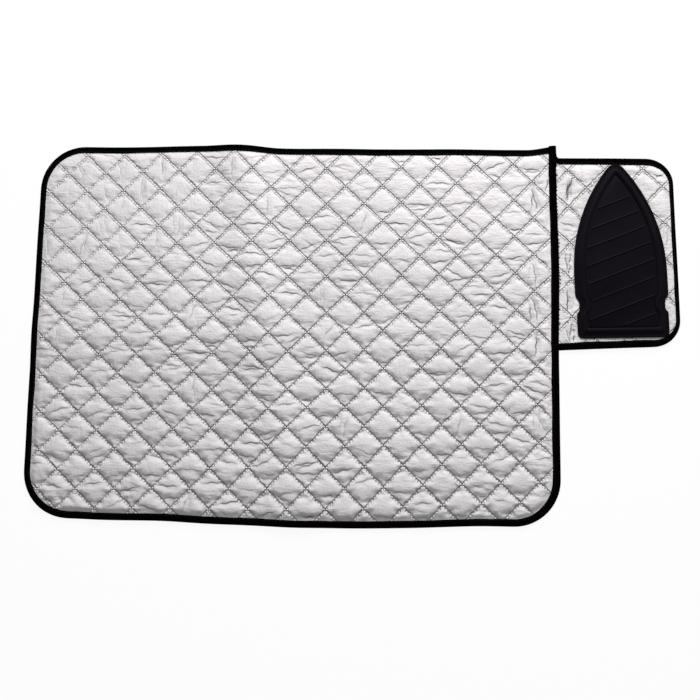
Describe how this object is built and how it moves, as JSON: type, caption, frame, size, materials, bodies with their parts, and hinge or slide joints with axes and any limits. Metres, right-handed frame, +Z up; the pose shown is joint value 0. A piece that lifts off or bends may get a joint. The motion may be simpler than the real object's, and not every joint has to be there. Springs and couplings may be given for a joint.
{
  "type": "ironing pad",
  "caption": "Flat quilted ironing pad with a taped edge that folds over at its middle, and a side flap that folds over and carries a ribbed silicone iron rest.",
  "frame": {"origin": "on the table, under the middle of the whole outline with the flap opened out", "axes": "+X along the pad towards the flap, +Y towards the far long edge, +Z up from the table"},
  "size_m": [0.8598, 0.5, 0.0087],
  "materials": {
    "cover_cloth": "silver-coated woven cloth with a soft metallic sheen, quilted in diamonds",
    "fibre_wadding": "white bonded fibre wadding",
    "backing_cloth": "plain pale woven cotton",
    "edge_tape": "black woven bias tape, matt",
    "sewing_thread": "black polyester thread",
    "moulded_silicone": "black moulded silicone, satin"
  },
  "bodies": {
    "right_panel": {"cover_right": "cover_cloth", "wadding_right": "fibre_wadding", "backing_right": "backing_cloth", "binding_right": "edge_tape", "binding_thread_right": "sewing_thread"},
    "left_panel": {"cover_left": "cover_cloth", "wadding_left": "fibre_wadding", "backing_left": "backing_cloth", "binding_left": "edge_tape", "binding_thread_left": "sewing_thread"},
    "flap": {"flap_cover": "cover_cloth", "flap_wadding": "fibre_wadding", "flap_backing": "backing_cloth", "flap_binding": "edge_tape", "flap_binding_thread": "sewing_thread", "iron_rest": "moulded_silicone", "rest_thread": "sewing_thread"}
  },
  "joints": [
    {"name": "centre_fold", "type": "hinge", "parent": "right_panel", "child": "left_panel", "pos_m": [-0.0799, 0, 0.01275], "axis": [0, 1, 0], "range_deg": [0, 180]},
    {"name": "flap_fold", "type": "hinge", "parent": "right_panel", "child": "flap", "pos_m": [0.2701, 0, 0.00855], "axis": [0, -1, 0], "range_deg": [0, 180]}
  ]
}
